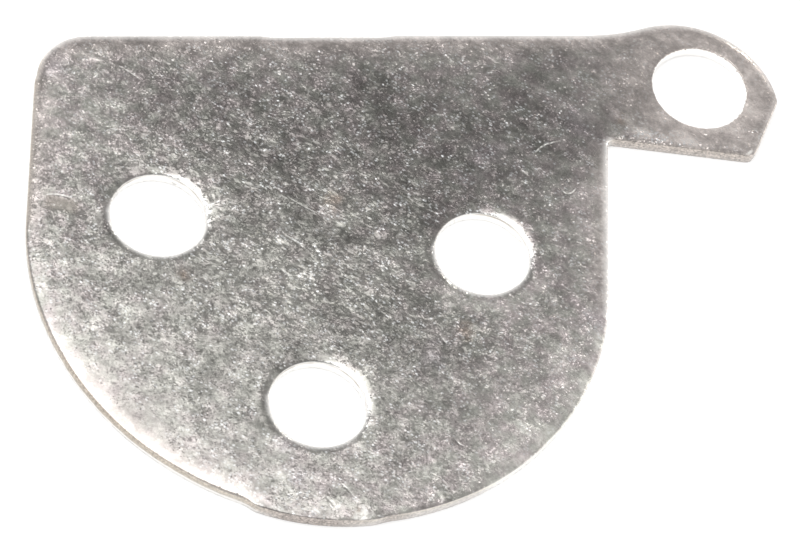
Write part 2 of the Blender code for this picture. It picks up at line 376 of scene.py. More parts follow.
# Bright bare metal of the scratches and rubbed spots, which also paints a highlight on the scratches and at
# the corner of the arm's tip
SCORED_AND_HIGHLIGHT = (0.92, 0.91, 0.87, 1)
BRIGHT_WALL = (0.97, 0.955, 0.93, 1)
TORN_WALL = (0.43, 0.385, 0.358, 1)
BEIGE_WALL = (0.46, 0.403, 0.335, 1)
WALL_LINE = (0.97, 0.93, 0.80, 1)
BORE_LINE = (0.36, 0.31, 0.265, 1)

# Patterns of the plating: cells to the millimetre, detail and roughness of the noise
MOTTLE = (0.8, 4.0, 0.8)
BLOTCHES = (0.35, 3.0, 0.6)
PATCHES = (0.14, 2.0, 0.6)
SPECKLE = (6.0, 2.0, 0.8)
TINTED = (0.8, 2.0, 0.5)
FLECKED = (0.9, 2.0, 0.6)
SPARKLE = (1.6, 3.0, 0.6)
CLUSTERS = (0.5, 2.0, 0.6)
WORN = (3.5, 2.0, 0.5)
LINED = (0.5, 2.0, 0.5)

# How a pattern, a share or a distance is carried over: from low and high to two results
SWING_BY_CALM = (0.0, 0.6, 3.6, 2.4)
TINT_SWING_BY_GAP = (6.0, 20.0, 1.8, 3.2)
TINT_SHIFT_BY_GAP = (6.0, 20.0, 0.25, 0.55)
HUE_BY_TINT = (-0.2, 1.2)
HUE_BY_SHEEN = (0.1, 1.0)
FLECKED_BY_NOISE = (0.44, 0.60, 0.0, 0.8)
FLECK_BY_GAP = (0.15, 0.65, 1.0, 0.0)
FLECK_BY_CELL = (0.42, 0.72)
SCORED_AND_HIGHLIGHT_BY_NOISE = (0.38, 0.6, 0.15, 1.0)
BEIGE_BY_SPECKLE = (0.3, 0.7, 0.65, 1.35)
LINE_BY_NOISE = (0.4, 0.6, 0.25, 1.0)
CUT_BY_WALL = (0.2, 0.9)
STREAKED_BY_NOISE = (0.42, 0.62)
STREAKED_BY_GAP = (4.0, 13.0, 1.0, 0.1)
LEAN_BY_PATCH = (0.3, 0.7, 0.75, 1.25)
LEAN_BY_GAP = (3.0, 28.0, 1.22, 0.56)
LEAN_BY_SPARKLE = (0.38, 0.62, 0.25, 1.6)
ROUGH_BY_SCORED_AND_HIGHLIGHT = (0.0, 1.0, 0.25, 0.6)
SMOOTH_BY_WALL = (0.1, 0.5, 0.0, 0.13)

# How strongly each share counts in the material
PATCH_SWING = 0.5
# How much the painted sheen brightens the plating
SHEEN_GAIN = 0.8
TINT_COVER = 0.55
STAIN_COVER = 0.55
PRESSED_COVER = 0.65
FLECK_COVER = 0.75
FLECK_MORE = 0.2
CALM_SMOOTH = 0.88
PRESSED_SMOOTH = 0.8
TORN_CONTRAST = 3.0
TORN_SHIFT = -0.5

# The middle of every pattern's values, and of a random colour
MIDDLE = 0.5
MIDDLE_COLOUR = (MIDDLE, MIDDLE, MIDDLE)

# Cells of the flecks to the millimetre
FLECKS = 5.2

# Facets that make the grain, and the streaks: cells to the millimetre, and how far they lean
FINE_FACETS = (11.0, 0.23)
MIDDLE_FACETS = (5.0, 0.09)
BROAD_FACETS = (2.2, 0.06)
STREAKS = (6.5, 0.5)
LEAN_GAIN = 1.6
LEAN_POWER = 3.0

# Camera: how it stands to the plate, from the photograph's perspective
TARGET = (5.46, -2.73, 1.0)
CAMERA_AZIMUTH = math.radians(-15.07)
CAMERA_ELEVATION = math.radians(55.62)
CAMERA_ROLL = math.radians(19.24)
CAMERA_DISTANCE = 318.7
LENS = 212.2
SENSOR = 36.0
NEAREST_SEEN = 0.01

# The floor lies just clear of the plate's underside, in metres
FLOOR_GAP = 0.00002
FLOOR_SIDE = 3.0
FLOOR_COLOUR = (0.66, 0.66, 0.655, 1)
FLOOR_GLOW = 0.47

# The studio's plain light: along each axis of the direction, from one value to another
WORLD_RAMPS = (
    ("Y", -0.3, 0.7, 0.65, 0.32),
    ("Y", 0.56, 0.88, 0.0, 0.38),
    ("Z", 0.30, 0.75, 0.20, 0.0),
    ("X", 0.15, 0.50, 0.0, 0.45),
    ("X", -0.45, -0.15, 0.45, 0.0),
)

# Soft boxes: name, direction from the plate, distance and sides in metres, turn, brightness, colour
LAMPS = (
    ("key", (-0.052, 0.042, 0.25), 0.26, (0.22, 0.22), math.radians(43), 1.9, (1.0, 1.0, 1.0)),
    ("fill", (0.85, 0.15, 0.35), 0.35, (0.26, 0.16), 0.0, 0.8, (1.0, 0.97, 0.91)),
    ("back", (0.404, 0.753, 0.520), 0.35, (0.02, 0.02), 0.0, 9.0, (1.0, 0.96, 0.85)),
)


def solid_corners(node):
    """The solid's corners in millimetres with repeats merged, and its edges as pairs of corners."""
    spots = np.zeros(len(node.data.vertices) * 3)
    node.data.vertices.foreach_get("co", spots)
    pairs = np.zeros(len(node.data.edges) * 2, int)
    node.data.edges.foreach_get("vertices", pairs)
    spots, merged = np.unique(np.round(spots.reshape(-1, 3) / MM, 4), axis=0, return_inverse=True)
    return spots, merged.ravel()[pairs].reshape(-1, 2)


def loops_at(height, spots, pairs):
    """The closed loops of edges that lie at one height, each as a list of corners."""
    level = np.abs(spots[:, 2] - height) < SAME_PLACE
    beside = {}
    for first, second in pairs[level[pairs].all(axis=1)]:
        if first != second:
            beside.setdefault(first, set()).add(second)
            beside.setdefault(second, set()).add(first)
    loops = []
    while beside:
        loop = [min(beside)]
        step = min(beside[loop[0]])
        while step != loop[0]:
            step_from = loop[-1]
            loop.append(step)
            step = next(other for other in beside[step] if other != step_from)
        for corner in loop:
            del beside[corner]
        loops.append(loop)
    return loops


def area(places):
    """The signed area of a closed loop in the plane, positive if it runs anticlockwise."""
    after = np.roll(places, -1, axis=0)
    return (places[:, 0] * after[:, 1] - places[:, 1] * after[:, 0]).sum() / 2


def read_form(node):
    """The outline with its roll's depth at each place, and the holes as (centre, radius) pairs."""
    spots, pairs = solid_corners(node)
    loops = [spots[loop, :2] for loop in loops_at(OUTLINE_HEIGHT, spots, pairs)]
    loops.sort(key=lambda loop: abs(area(loop)))
    outline = loops.pop()
    if area(outline) < 0:
        outline = outline[::-1]
    thickness = spots[:, 2].max()
    depths = []
    for place in outline:
        above = np.abs(spots[:, :2] - place).max(axis=1) < SAME_PLACE
        depths.append(thickness - spots[above, 2].max())
    holes = []
    for loop in loops + [spots[loop, :2] for loop in loops_at(PIVOT_HEIGHT, spots, pairs)]:
        centre = (loop.min(axis=0) + loop.max(axis=0)) / 2
        holes.append((centre, np.hypot(*(loop - centre).T).max()))
    return thickness, outline, np.array(depths), holes[:-1], holes[-1]


def unit(vectors):
    """Vectors with their length made one."""
    return vectors / np.linalg.norm(vectors, axis=-1, keepdims=True)


def smooth_outline(corners, depths):
    """The outline as closely spaced places on a smooth curve that keeps its sharp corners."""
    chords = np.roll(corners, -1, axis=0) - corners
    lengths = np.linalg.norm(chords, axis=1)
    ways = unit(chords)
    before = np.roll(ways, 1, axis=0)
    turn = np.arccos(np.clip((before * ways).sum(axis=1), -1, 1))
    earlier = np.roll(lengths, 1)
    middle = unit(before * (earlier ** 2)[:, None] + ways * (lengths ** 2)[:, None])
    sharp = (turn > SHARP_TURN)[:, None]
    leaving = np.where(sharp, ways, middle)
    arriving = np.where(sharp, before, middle)
    places = []
    values = []
    for index, length in enumerate(lengths):
        after = (index + 1) % len(corners)
        steps = max(1, round(length / EDGE_PITCH))
        for step in range(steps):
            t = step / steps
            rise = t * t * (3 - 2 * t)
            places.append(corners[index] * (1 - rise) + corners[after] * rise
                          + leaving[index] * length * t * (1 - t) ** 2
                          - arriving[after] * length * t * t * (1 - t))
            values.append(depths[index] * (1 - t) + depths[after] * t)
    places = soften(np.array(places), OUTLINE_ROUNDS)
    values = soften(np.array(values), DEPTH_ROUNDS)
    along = unit(np.roll(places, -1, axis=0) - np.roll(places, 1, axis=0))
    outward = np.column_stack((along[:, 1], -along[:, 0]))
    return places, outward, values


def soften(values, rounds):
    """A closed run of values, each mixed with its neighbours a number of times."""
    for _ in range(rounds):
        values = (np.roll(values, 1, axis=0) + 2 * values + np.roll(values, -1, axis=0)) / 4
    return values


def wander(places, pitch, seed):
    """Smooth noise from about -1 to 1 at places in the plane, with cells of one pitch."""
    return np.array([noise.noise((x / pitch, y / pitch, seed)) for x, y in places]) * NOISE_GAIN


class Skin:
    """The mesh being made: its corners in millimetres, its faces, and what the material needs to know."""

    SHARES = ("wall", "break", "torn", "dull", "bore", "line")

    def __init__(self):
        self.spots = []
        self.faces = []
        self.shares = {name: [] for name in self.SHARES}

    def corner(self, spot, shares):
        """Adds a corner with its shares, which are nought where they aren't given."""
        self.spots.append(spot)
        for name, values in self.shares.items():
            values.append(shares.get(name, 0.0))
        return len(self.spots) - 1

    def ring(self, places, heights, **shares):
        """Adds a closed ring of corners and returns their numbers."""
        heights = np.broadcast_to(heights, len(places))
        shares = {name: np.broadcast_to(values, len(places)) for name, values in shares.items()}
        return [self.corner((place[0], place[1], heights[number]),
                            {name: values[number] for name, values in shares.items()})
                for number, place in enumerate(places)]

    def bridge(self, upper, lower):
        """Quads between two rings of like length, facing away from the sheet."""
        count = len(upper)
        for index in range(count):
            after = (index + 1) % count
            self.faces.append((upper[index], lower[index], lower[after], upper[after]))

    def fill(self, outer, inner, pitch, height, upward, extra=()):
        """A flat face of even triangles inside an outer ring and outside the inner ones."""
        rings = [outer] + inner
        given = [number for ring in rings for number in ring]
        fixed = np.array([self.spots[number][:2] for number in given])
        links = []
        start = 0
        for ring in rings:
            count = len(ring)
            links += [(start + index, start + (index + 1) % count) for index in range(count)]
            start += count
        free = np.array(list(extra) + list(honeycomb(fixed, pitch)))
        free = clear_of(free, fixed, CLEAR_OF_EDGE)
        free = free[inside(free, np.array([self.spots[number][:2] for number in outer]))]
        for ring in inner:
            hole = np.array([self.spots[number][:2] for number in ring])
            free = free[~inside(free, hole)]
        points = [Vector(place) for place in np.vstack((fixed, free))]
        found, _, faces, origins, _, _ = geometry.delaunay_2d_cdt(points, links, [], 1, SAME_POINT)
        numbers = []
        for spot, origin in zip(found, origins):
            if origin and origin[0] < len(given):
                numbers.append(given[origin[0]])
            else:
                numbers.append(self.corner((spot.x, spot.y, height), {}))
        middles = np.array([np.mean([found[corner] for corner in face], axis=0) for face in faces])
        kept = np.ones(len(faces), bool)
        for ring in inner:
            kept &= ~inside(middles, np.array([self.spots[number][:2] for number in ring]))
        for face, keep in zip(faces, kept):
            if keep:
                face = [numbers[corner] for corner in face]
                self.faces.append(tuple(face if upward else reversed(face)))


def honeycomb(fixed, pitch):
    """Evenly spaced places over the whole box of some others."""
    low = fixed.min(axis=0)
    high = fixed.max(axis=0)
    row_pitch = pitch * math.sqrt(3) / 2
    rows = []
    for number, y in enumerate(np.arange(low[1], high[1], row_pitch)):
        across = np.arange(low[0] + pitch / 2 * (number % 2), high[0], pitch)
        rows.append(np.column_stack((across, np.full(len(across), y))))
    return np.vstack(rows)


def clear_of(places, others, gap):
    """Those places that lie further than a gap from each of the others."""
    cells = {}
    for other in others:
        cells.setdefault((int(other[0] // gap), int(other[1] // gap)), []).append(other)
    kept = []
    for place in places:
        column = int(place[0] // gap)
        row = int(place[1] // gap)
        near = [other for i in (-1, 0, 1) for j in (-1, 0, 1)
                for other in cells.get((column + i, row + j), ())]
        if not any(math.dist(place, other) < gap for other in near):
            kept.append(place)
    return np.array(kept)


def inside(places, loop):
    """Whether each place lies inside a closed loop."""
    crossings = np.zeros(len(places), int)
    after = np.roll(loop, -1, axis=0)
    for start, end in zip(loop, after):
        between = (places[:, 1] >= start[1]) != (places[:, 1] >= end[1])
        if between.any():
            way = (places[between, 1] - start[1]) / (end[1] - start[1])
            crossings[between] += places[between, 0] < start[0] + way * (end[0] - start[0])
    return crossings % 2 == 1


def faces_to(outward, way, start, full):
    """How far an edge faces one way: nought up to the first cosine, and one from the second on."""
    return np.clip((outward @ way - start) / (full - start), 0, 1)


def faces_all(outward, sides):
    """How far an edge faces several ways at once."""
    return np.prod([faces_to(outward, *side) for side in sides], axis=0)


def edge_rows(skin, places, outward, depths, spread, thickness, from_above, seed, crisp, **shares):
    """Rings down a cut edge from the face that the punch entered: roll, shiny wall and ragged break.

    Where the edge is crisp, the face's own colour runs on further over the roll.
    """
    def height(down):
        return thickness - down if from_above else down

    rings = []
    for row in range(ROLL_ROWS + 1):
        angle = math.pi / 2 * row / ROLL_ROWS
        inset = depths * spread * (1 - math.sin(angle))
        rings.append(skin.ring(places - outward * inset[:, None], height(depths * (1 - math.cos(angle))),
                               wall=(row / ROLL_ROWS) ** (1 + CRISP_POWER * crisp),
                               line=float(row == ROLL_ROWS and from_above),
                               **shares))
    break_top = thickness - OUTLINE_HEIGHT + BREAK_WANDER * wander(places, BREAK_WANDER_PITCH, seed)
    for row in range(1, WALL_ROWS + 1):
        share = row / WALL_ROWS
        rings.append(skin.ring(places, height(depths + (break_top - depths) * share), wall=1.0,
                               line=SECOND_LINE * (row == 1 and from_above),
                               **{"break": float(row == WALL_ROWS)}, **shares))
    for row in range(1, BREAK_ROWS + 1):
        share = row / BREAK_ROWS
        ragged = BREAK_RAGGED * wander(places, RAGGED_PITCH, seed + row * RAGGED_ROW_STEP)
        down = break_top + (thickness - break_top) * share
        if row == BREAK_ROWS and from_above:
            ragged = ragged * FOOT_RAGGED
        if row >= BREAK_ROWS - 1 and not from_above:
            teeth = np.maximum(wander(places, BURR_PITCH, seed) + BURR_SHARE, 0)
            far_side = faces_to(outward, *BURR_SIDE)
            shares = dict(shares, bore=1 - far_side, torn=far_side)
            down = down + BURR_HEIGHT * teeth * far_side * (row == BREAK_ROWS)
            ragged = ragged - BURR_REACH * teeth * far_side
        inset = BREAK_TAPER * share + ragged
        rings.append(skin.ring(places - outward * inset[:, None], height(down), wall=1.0,
                               **{"break": 1.0}, **shares))
    if not from_above:
        inset = inset + LIP
        rings.append(skin.ring(places - outward * inset[:, None], thickness, wall=0.0, **shares))
        rings.reverse()
    for upper, lower in zip(rings, rings[1:]):
        skin.bridge(upper, lower)
    return rings[0], rings[-1]


def circle(centre, radius):
    """Places round a hole, clockwise, with the sheet on the left, and the way into the hole."""
    angles = -np.linspace(0, 2 * math.pi, HOLE_STEPS, endpoint=False)
    away = np.column_stack((np.cos(angles), np.sin(angles)))
    return centre + away * radius, -away


def curve_through(first, middle, last):
    """Places on the parabola through three others."""
    t = np.linspace(0, 1, SCRATCH_STEPS)[:, None]
    return (np.array(first) * (1 - t) * (1 - 2 * t) + np.array(middle) * 4 * t * (1 - t)
            + np.array(last) * t * (2 * t - 1))


def gap_to(places, line):
    """How far each place lies from a line of short pieces, and how far along the line it is, 0 to 1."""
    gaps = np.full(len(places), np.inf)
    along = np.zeros(len(places))
    for number, (start, end) in enumerate(zip(line, line[1:])):
        way = end - start
        share = np.clip((places - start) @ way / (way @ way), 0, 1)
        gap = np.hypot(*(places - start - share[:, None] * way).T)
        closer = gap < gaps
        gaps[closer] = gap[closer]
        along[closer] = (number + share[closer]) / (len(line) - 1)
    return gaps, along


def scratch_places():
    """Close rows of places along each scratch and along the painted highlight at the arm's tip, and a fine
    grid over the dent, for the mesh of the face.
    """
    rows = []
    for (first, middle, last), width, _ in SCRATCHES_AND_HIGHLIGHT:
        line = curve_through(first, middle, last)
        along = unit(np.gradient(line, axis=0))
        beside = np.column_stack((-along[:, 1], along[:, 0]))
        for share in SCRATCH_ROWS:
            rows.append(line + beside * width * share)
    reach = np.array(DENT_HALF) + 2 * DENT_SOFTNESS
    across, up = np.meshgrid(*(np.arange(-side, side, MARK_PITCH) for side in reach))
    rows.append(np.column_stack((across.ravel(), up.ravel())) @ turn_matrix(DENT_TURN).T + DENT_CENTRE)
    return np.vstack(rows)


def turn_matrix(angle):
    """The matrix that turns places in the plane anticlockwise."""
    return np.array(((math.cos(angle), -math.sin(angle)), (math.sin(angle), math.cos(angle))))


def marks(places):
    """How deep each place is pressed in, how far it is scored and painted with a highlight, and how far
    pressed smooth.
    """
    deep = np.zeros(len(places))
    scored_and_highlight = np.zeros(len(places))
    for (first, middle, last), width, depth in SCRATCHES_AND_HIGHLIGHT:
        gaps, along = gap_to(places, curve_through(first, middle, last))
        groove = np.clip(1 - (gaps / (width * SCRATCH_HALF)) ** 2, 0, 1)
        ends = np.sqrt(np.sin(math.pi * np.clip(along, SCRATCH_END, 1 - SCRATCH_END)))
        deep = np.maximum(deep, depth * groove * ends)
        scored_and_highlight = np.maximum(scored_and_highlight, groove * ends)
    for centre, radius in BRIGHT_SPOTS:
        gaps = np.hypot(*(places - centre).T) * (1 + SPOT_UNEVEN * wander(places, SPOT_PITCH, SPOT_SEED))
        scored_and_highlight = np.maximum(scored_and_highlight, np.exp(-(gaps / radius) ** 4))
    offset = np.abs((places - DENT_CENTRE) @ turn_matrix(DENT_TURN)) - DENT_HALF
    offset = offset.max(axis=1) + DENT_UNEVEN * wander(places, DENT_UNEVEN_PITCH, DENT_SEED)
    pressed = 1 / (1 + np.exp(np.clip(offset / DENT_SOFTNESS * DENT_STEEPNESS, -30, 30)))
    deep = np.maximum(deep, DENT_DEPTH * pressed)
    return deep, scored_and_highlight, pressed


def relief(places):
    """How far the face stands above its plane: long low waves from the press."""
    return sum(height * wander(places, pitch, seed) for height, pitch, seed in WAVES)


def near_rim(spots, rim, reach, weights=None):
    """How near each corner is to a rim of the sheet: one at the rim, falling off away from it."""
    tree = kdtree.KDTree(len(rim))
    for number, place in enumerate(rim):
        tree.insert((place[0], place[1], 0.0), number)
    tree.balance()
    found = [tree.find((spot[0], spot[1], 0.0)) for spot in spots]
    near = np.exp(-np.array([gap for _, _, gap in found]) / reach)
    if weights is not None:
        near = near * weights[[number for _, number, _ in found]]
    return near


def patchwork(places, patches):
    """The sum of soft broad patches at each place."""
    total = np.zeros(len(places))
    for centre, radius, change in patches:
        total += change * np.exp(-(np.hypot(*(places - centre).T) / radius) ** 2)
    return total


def ring_mark(places):
    """How far each place is covered by the part ring that a washer left."""
    away = places - RING_CENTRE
    gap = np.hypot(*away.T)
    uneven = 1 + RING_UNEVEN * wander(places, RING_PITCH, RING_SEED)
    band = np.exp(-((gap - RING_RADIUS) / RING_HALF_WIDTH) ** 2 * uneven)
    return band * np.clip(RING_SPAN * (away @ RING_TOWARDS) / np.maximum(gap, SAME_PLACE), 0, 1)


def blots(places, spots, seed):
    """How far each place is covered by small soft spots with an uneven edge."""
    cover = np.zeros(len(places))
    for centre, radius in spots:
        gaps = np.hypot(*(places - centre).T) * (1 + BLOT_UNEVEN * wander(places, radius, seed))
        cover = np.maximum(cover, np.exp(-(gaps / radius) ** 2))
    return cover


def rim_looks(rim, outward, depths):
    """Shares along the outer rim: torn, dull, crisp, how calm the face beside it is, and how much painted
    sheen it gets.
    """
    on_body = rim[:, 0] < BODY_RIGHT
    rolled = depths / depths.max()
    clean = np.clip((rim[:, 0] - CLEAN_FROM) / CLEAN_OVER, 0, 1) * on_body
    torn = np.clip(TORN_MOST - TORN_FALL * rolled, 0, 1) * (1 - CLEAN_LOSS * clean)
    spent = np.clip(SPENT_RISE * (1 - rolled), 0, 1)
    flank = faces_all(outward, FLANK_SIDES)
    sharp = faces_to(outward, *SHARP_SIDE) * on_body
    stub = torn * on_body * (outward[:, 1] < -STUB_LEAST)
    crisp = np.max((sharp, SOFT_CRISP * flank, SOFT_CRISP * stub), axis=0)
    calm = np.maximum(faces_to(outward, *CALM_SIDE), LEAST_CALM)
    calm = calm * (1 - spent) * (1 - FLANK_CALM_LOSS * flank) * (1 - sharp)
    # How much painted sheen the face beside the rim gets: less where the roll is spent, on the flank and at
    # the crisp lower right, more along the upper edges
    sheen = (1 - SPENT_SHEEN_LOSS * spent) * (1 - FLANK_SHEEN_LOSS * flank)
    sheen = sheen * (1 - SHARP_SHEEN_LOSS * sharp)
    sheen = sheen * (1 + UPPER_SHEEN * faces_to(outward, *UPPER_SIDE))
    return torn, faces_to(outward, *DULL_SIDE), crisp, calm, sheen


def build_plate():
    """The plate's mesh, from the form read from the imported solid."""
    thickness, corners, depths, screw_holes, pivot_hole = read_form(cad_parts[NODE])
    skin = Skin()
    outer_rim, outward, depths = smooth_outline(corners, depths)
    torn, dull, crisp, calm, sheen = rim_looks(outer_rim, outward, depths)
    top, under = edge_rows(skin, outer_rim, outward, depths, ROLL_SPREAD, thickness, True, RIM_SEED,
                           crisp, torn=torn, dull=dull)
    hole_rims = []
    hole_sheens = []
    hole_lights_and_shades = []
    tops = []
    unders = []
    for number, (centre, radius) in enumerate(screw_holes + [pivot_hole]):
        places, outward = circle(centre, radius)
        hole_rims.append(places)
        # Painted sheen on the face beside the upper right of each hole's rim
        hole_sheens.append(faces_to(outward, *HOLE_SHEEN_SIDE))
        # Painted light and shade: the face is lighter beside the lower part of each hole's rim and darker
        # beside part of its upper rim
        hole_lights_and_shades.append(HOLE_LIGHT * faces_to(outward, *UPPER_SIDE)
                          - HOLE_SHADE * faces_all(outward, (HOLE_SHADE_SIDE, LOWER_SIDE)))
        roll = np.full(HOLE_STEPS, HOLE_ROLL_DEPTH)
        entered = number < len(screw_holes)
        upper, lower = edge_rows(skin, places, outward, roll, HOLE_ROLL_SPREAD, thickness,
                                 entered, HOLE_SEED + number, faces_all(outward, LATE_SIDES), bore=1.0)
        tops.append(upper)
        unders.append(lower)
    skin.fill(top, tops, FACE_PITCH, thickness, True, scratch_places())
    skin.fill(under, unders, UNDERSIDE_PITCH, 0.0, False)

    spots = np.array(skin.spots)
    plan = spots[:, :2]
    upper = spots[:, 2] / thickness
    on_face = upper > FACE_LOWEST
    deep, scored_and_highlight, pressed = marks(plan)
    # Painted sheen: the face is lightened near the outer rim, near the upper right of each hole's rim, and
    # round the pivot hole
    edge_sheen = near_rim(spots, outer_rim, SHEEN_REACH, sheen)
    hole_rim = np.vstack(hole_rims)
    hole_sheen = HOLE_SHEEN * near_rim(spots, hole_rim, HOLE_PAINTED_REACH, np.hstack(hole_sheens))
    eye_sheen = EYE_SHEEN * near_rim(spots, hole_rims[-1], EYE_SHEEN_REACH)
    # The painted light and shade beside the holes, falling off away from their rims
    hole_light_and_shade = near_rim(spots, hole_rim, HOLE_PAINTED_REACH, np.hstack(hole_lights_and_shades))
    # Painted light beside the crisp rims, with a strip of painted shade at the rim itself
    rim_light_and_shade = (near_rim(spots, outer_rim, LIFT_REACH, LIFT * crisp)
                - near_rim(spots, outer_rim, DIM_REACH, DIM * crisp))
    ring = ring_mark(plan)
    calms = (near_rim(spots, outer_rim, CALM_REACH, calm),
             near_rim(spots, outer_rim, BROAD_CALM_REACH, BROAD_CALM * calm - CALM_LOSS),
             EYE_CALM * eye_sheen, RING_CALM * ring, patchwork(plan, FAINT_PLACES))
    shares = dict(
        skin.shares,
        scored_and_highlight=scored_and_highlight * on_face,
        pressed=pressed * on_face,
        painted_sheen=np.max((edge_sheen, hole_sheen, eye_sheen), axis=0),
        calm=np.clip(np.max(calms, axis=0) - patchwork(plan, LIVELY_PLACES), 0, 1),
        # The plating's darker and lighter places and the washer's ring, with painted light and shade beside
        # the holes and the crisp rims
        tone_and_shading=patchwork(plan, TONES) + RING_TONE * ring + hole_light_and_shade + rim_light_and_shade,
        fleck=patchwork(plan, FLECKED_PLACES),
        stain=blots(plan, STAINS, STAIN_SEED),
        tint=blots(plan, TINTS, TINT_SEED),
    )
    spots[:, 2] += relief(plan) * upper - deep * on_face
    data = bpy.data.meshes.new("plate")
    data.from_pydata((spots * MM).tolist(), [], skin.faces)
    for name, values in shares.items():
        data.attributes.new(name, "FLOAT", "POINT").data.foreach_set("value", values)
    data.shade_smooth()
    data.validate()
    plate = bpy.data.objects.new("plate", data)
    bpy.context.scene.collection.objects.link(plate)
    return plate


class Graph:
    """Short calls for the nodes of one material."""

    def __init__(self, name):
        self.material = bpy.data.materials.new(name)
        self.material.use_nodes = True
        self.tree = self.material.node_tree
        self.tree.nodes.clear()

    def add(self, kind, inputs, output=0, **settings):
        """A node with its settings and inputs, as values or other nodes' outputs. Gives an output."""
        node = self.tree.nodes.new("ShaderNode" + kind)
        for name, value in settings.items():
            setattr(node, name, value)
        for name, value in inputs.items():
            if isinstance(value, bpy.types.NodeSocket):
                self.tree.links.new(value, node.inputs[name])
            else:
                node.inputs[name].default_value = value
        return node.outputs[output]

    def math(self, operation, first, second=0.0, clamp=False):
        """A sum, product or other result of two values."""
        return self.add("Math", {0: first, 1: second}, operation=operation, use_clamp=clamp)

    def times(self, first, second):
        """Two values multiplied."""
        return self.math("MULTIPLY", first, second)

    def about_nought(self, pattern):
        """A pattern's values, moved so that their middle is nought."""
        return self.math("SUBTRACT", pattern, MIDDLE)

    def vector(self, operation, first, second=(0.0, 0.0, 0.0)):
        """A sum, difference or other result of two vectors."""
        return self.add("VectorMath", {0: first, 1: second}, operation=operation)

    def stretch(self, vector, by):
        """A vector made longer or shorter."""
        return self.add("VectorMath", {0: vector, "Scale": by}, operation="SCALE")

    def gap(self, place, centre):
        """How far a place lies from a centre."""
        return self.add("VectorMath", {0: place, 1: centre}, output="Value", operation="DISTANCE")

    def noise(self, vector, scale, detail, roughness):
        """Smooth noise, from about 0.3 to 0.7."""
        return self.add("TexNoise", {"Vector": vector, "Scale": scale, "Detail": detail,
                                     "Roughness": roughness})

    def ramp(self, value, low, high, to_low=0.0, to_high=1.0):
        """A value carried smoothly from one range to another."""
        return self.add("MapRange", {"Value": value, "From Min": low, "From Max": high,
                                     "To Min": to_low, "To Max": to_high},
                        interpolation_type="SMOOTHSTEP")

    def blend(self, share, first, second, blend_type="MIX"):
        """A colour between two others, or the two multiplied."""
        node = self.tree.nodes.new("ShaderNodeMix")
        node.data_type = "RGBA"
        node.blend_type = blend_type
        for socket, value in ((node.inputs[0], share), (node.inputs[6], first), (node.inputs[7], second)):
            if isinstance(value, bpy.types.NodeSocket):
                self.tree.links.new(value, socket)
            else:
                socket.default_value = value
        return node.outputs[2]

    def finish(self, shader):
        """Ends the material with its shader."""
        output = self.tree.nodes.new("ShaderNodeOutputMaterial")
        self.tree.links.new(shader, output.inputs["Surface"])
        return self.material


def facets(graph, vector, scale, lean):
    """A random lean of the surface in each cell of a fine pattern, slight in most and strong in a few."""
    cell = graph.add("TexVoronoi", {"Vector": vector, "Scale": scale}, output="Color")
    way = graph.vector("SUBTRACT", cell, MIDDLE_COLOUR)
    size = graph.add("VectorMath", {0: way}, output="Value", operation="LENGTH")
    size = graph.math("POWER", graph.times(size, LEAN_GAIN), LEAN_POWER)
    return graph.stretch(way, graph.times(size, lean))


def plating_colour(graph, place, grain_place, share, patches):
    """The colour of the faces: mottled, tinted and flecked plating, with its stains and marks, and with
    painted sheen and painted light and shade beside the rims and holes.
    """
    mottle = graph.about_nought(graph.noise(grain_place, *MOTTLE))
    swing = graph.times(mottle, graph.ramp(share["calm"], *SWING_BY_CALM))
    swing = graph.math("ADD", swing, graph.about_nought(graph.noise(grain_place, *BLOTCHES)))
    swing = graph.math("ADD", swing, graph.times(graph.about_nought(patches), PATCH_SWING))
    # The tone, with the painted light and shade beside the holes and crisp rims in it
    swing = graph.math("ADD", swing, share["tone_and_shading"])
    bright = graph.times(graph.math("POWER", 2.0, swing), PLATING)
    # Painted sheen: the plating is made brighter near the rims and holes
    brighter = graph.math("ADD", graph.times(share["painted_sheen"], SHEEN_GAIN), 1.0)
    bright = graph.math("MINIMUM", graph.times(bright, brighter), BRIGHTEST)

    from_middle = graph.gap(place, GREENISH_CENTRE)
    tint = graph.about_nought(graph.noise(place, *TINTED))
    tint = graph.times(tint, graph.ramp(from_middle, *TINT_SWING_BY_GAP))
    tint = graph.math("ADD", tint, graph.ramp(from_middle, *TINT_SHIFT_BY_GAP))
    hue = graph.blend(graph.ramp(tint, *HUE_BY_TINT), GREENISH, PINKISH)
    # The painted sheen's warmer hue
    hue = graph.blend(graph.ramp(share["painted_sheen"], *HUE_BY_SHEEN), hue, SHEEN_HUE)
    hue = graph.blend(graph.times(share["tint"], TINT_COVER), hue, PURPLISH)
    colour = graph.blend(1.0, hue, bright, "MULTIPLY")

    flecked = graph.ramp(graph.noise(grain_place, *FLECKED), *FLECKED_BY_NOISE)
    flecked = graph.times(flecked, graph.math("SUBTRACT", FLECK_COVER, share["calm"], clamp=True))
    flecked = graph.math("MAXIMUM", flecked, graph.times(share["fleck"], FLECK_COVER))
    fleck = graph.add("TexVoronoi", {"Vector": grain_place, "Scale": FLECKS}, output="Distance")
    picked = graph.add("TexVoronoi", {"Vector": grain_place, "Scale": FLECKS}, output="Color")
    picked = graph.math("ADD", picked, graph.times(share["fleck"], FLECK_MORE))
    fleck = graph.times(graph.ramp(fleck, *FLECK_BY_GAP), graph.ramp(picked, *FLECK_BY_CELL))
    colour = graph.blend(graph.times(fleck, flecked), colour, FLECK)

    colour = graph.blend(graph.times(share["stain"], STAIN_COVER), colour, STAIN)
    colour = graph.blend(graph.times(share["pressed"], PRESSED_COVER), colour, PRESSED)
    # Scratches and rubbed spots, bright as bare metal and with a painted highlight, and the painted
    # highlight at the arm's tip
    broken_up = graph.ramp(graph.noise(place, *WORN), *SCORED_AND_HIGHLIGHT_BY_NOISE)
    return graph.blend(graph.times(share["scored_and_highlight"], broken_up), colour, SCORED_AND_HIGHLIGHT)


